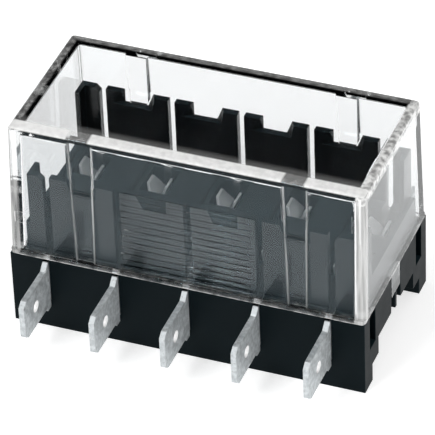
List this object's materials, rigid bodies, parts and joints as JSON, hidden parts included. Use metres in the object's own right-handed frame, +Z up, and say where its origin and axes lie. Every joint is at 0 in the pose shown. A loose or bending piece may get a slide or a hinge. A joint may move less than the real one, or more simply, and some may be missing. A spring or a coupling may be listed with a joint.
{
  "type": "blade fuse block",
  "caption": "Block that holds a row of blade fuses between two slotted walls, with quick-connect tabs front and rear and a clear lift-off cover.",
  "frame": {"origin": "under the middle of the block, on the surface that its feet stand on", "axes": "+X along the row of fuses, -Y to the front tabs, +Z up through the cover"},
  "size_m": [0.0522, 0.0444, 0.0325],
  "materials": {
    "black_moulding": "satin black moulded thermoplastic",
    "clear_plastic": "clear glossy moulded plastic",
    "tinned_brass": "matte tin plate on stamped brass",
    "spring_clip": "bright tin plate on spring sheet"
  },
  "bodies": {
    "base": {"housing": "black_moulding", "terminal_front_1": "tinned_brass", "terminal_front_2": "tinned_brass", "terminal_front_3": "tinned_brass", "terminal_front_4": "tinned_brass", "terminal_front_5": "tinned_brass", "terminal_rear_1": "tinned_brass", "terminal_rear_2": "tinned_brass", "terminal_rear_3": "tinned_brass", "terminal_rear_4": "tinned_brass", "terminal_rear_5": "tinned_brass", "clip_front_1": "spring_clip", "clip_front_2": "spring_clip", "clip_front_3": "spring_clip", "clip_front_4": "spring_clip", "clip_front_5": "spring_clip", "clip_rear_1": "spring_clip", "clip_rear_2": "spring_clip", "clip_rear_3": "spring_clip", "clip_rear_4": "spring_clip", "clip_rear_5": "spring_clip"},
    "cover": {"cover": "clear_plastic"}
  },
  "joints": [
    {"name": "cover_lift", "type": "slide", "parent": "base", "child": "cover", "axis": [0, 0, 1], "range_m": [0, 0.022]}
  ]
}
